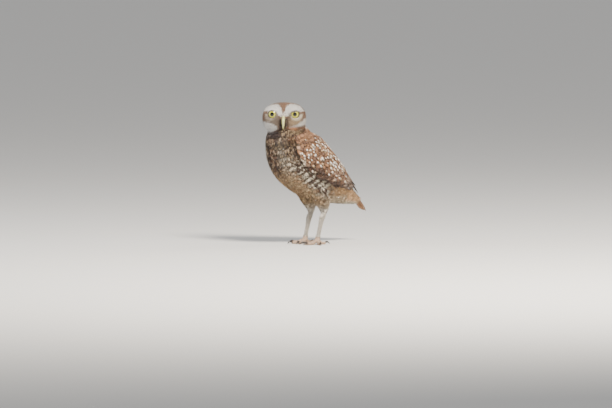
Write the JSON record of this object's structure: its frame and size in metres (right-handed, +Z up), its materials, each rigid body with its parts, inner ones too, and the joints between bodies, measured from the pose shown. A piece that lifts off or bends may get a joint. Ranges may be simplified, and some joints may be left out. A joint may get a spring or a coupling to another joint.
{
  "type": "burrowing owl",
  "caption": "A life-size burrowing owl standing still on its own feet, body slanting, tail drooped and head turned to its left; it rests on flat soles.",
  "frame": {"origin": "centre of the model's box at floor level, between and a little in front of the feet", "axes": "+Z up; the body faces -Y; the bird's left side is +X; the head is turned about 47 degrees from -Y towards +X"},
  "size_m": [0.0886, 0.199, 0.2219],
  "materials": {
    "head_plumage": "matte",
    "body_plumage": "matte",
    "wing_plumage": "matte",
    "tail_plumage": "matte",
    "leg_plumage": "matte",
    "foot_skin": "satin",
    "claw_horn": "satin",
    "bill_horn": "satin",
    "eye": "gloss"
  },
  "bodies": {
    "root": {"bill_lower": "bill_horn", "bill_upper": "bill_horn", "claw_left_hind": "claw_horn", "claw_left_inner": "claw_horn", "claw_left_middle": "claw_horn", "claw_left_outer": "claw_horn", "claw_right_hind": "claw_horn", "claw_right_inner": "claw_horn", "claw_right_middle": "claw_horn", "claw_right_outer": "claw_horn", "eye_left": "eye", "eye_right": "eye", "foot_left": "foot_skin", "foot_right": "foot_skin", "head": "head_plumage", "neck": "body_plumage", "shank_left": "leg_plumage", "shank_right": "leg_plumage", "tail": "tail_plumage", "thigh_left": "body_plumage", "thigh_right": "body_plumage", "torso": "body_plumage", "wing_left": "wing_plumage", "wing_right": "wing_plumage"}
  },
  "joints": []
}
